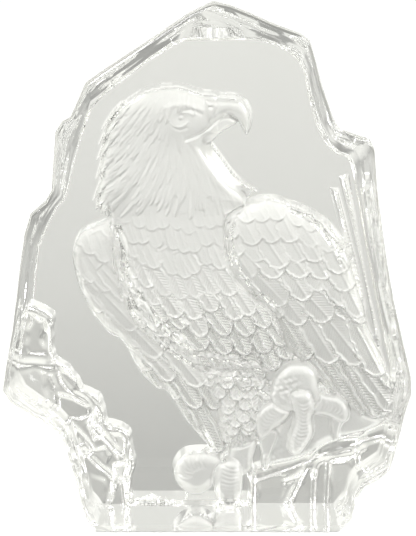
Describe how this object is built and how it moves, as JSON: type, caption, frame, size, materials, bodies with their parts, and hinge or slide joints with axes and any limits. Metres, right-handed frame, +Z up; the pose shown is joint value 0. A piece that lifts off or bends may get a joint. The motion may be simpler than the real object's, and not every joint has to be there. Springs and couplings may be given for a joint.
{
  "type": "crystal eagle statue",
  "caption": "Upright block of clear crystal with a rock-like outline and an eagle on a rock, pressed into its back as a frosted recess and seen through the flat polished front.",
  "frame": {"origin": "middle of the bounding box on the flat underside", "axes": "+Z up, +Y from the polished front to the carved back, +X to the right as the statue is seen from the front"},
  "size_m": [0.1438, 0.064, 0.19],
  "materials": {
    "crystal": "clear polished lead crystal on the front, the sides and the plain back, frosted in the carved figure"
  },
  "bodies": {
    "root": {"crystal_block": "crystal"}
  },
  "joints": []
}
